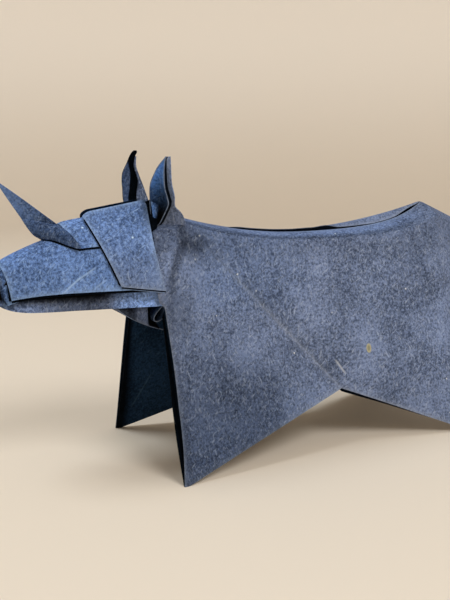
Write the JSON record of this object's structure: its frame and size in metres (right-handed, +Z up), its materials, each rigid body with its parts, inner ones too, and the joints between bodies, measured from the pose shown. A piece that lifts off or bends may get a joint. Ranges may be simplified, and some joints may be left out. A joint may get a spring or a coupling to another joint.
{
  "type": "origami rhinoceros",
  "caption": "Standing rhinoceros folded from one sheet of fibrous blue-grey paper, with creased flanks, splayed legs, a horned layered head and upright ears.",
  "frame": {"origin": "on the floor, under the middle of the figure's box", "axes": "-X is the way the nose points, +Y is the far flank, +Z is up"},
  "size_m": [0.1882, 0.0654, 0.1063],
  "materials": {
    "fibrous_paper": "matte handmade paper with pale fibres"
  },
  "bodies": {
    "root": {"folded_rhinoceros": "fibrous_paper"}
  },
  "joints": []
}
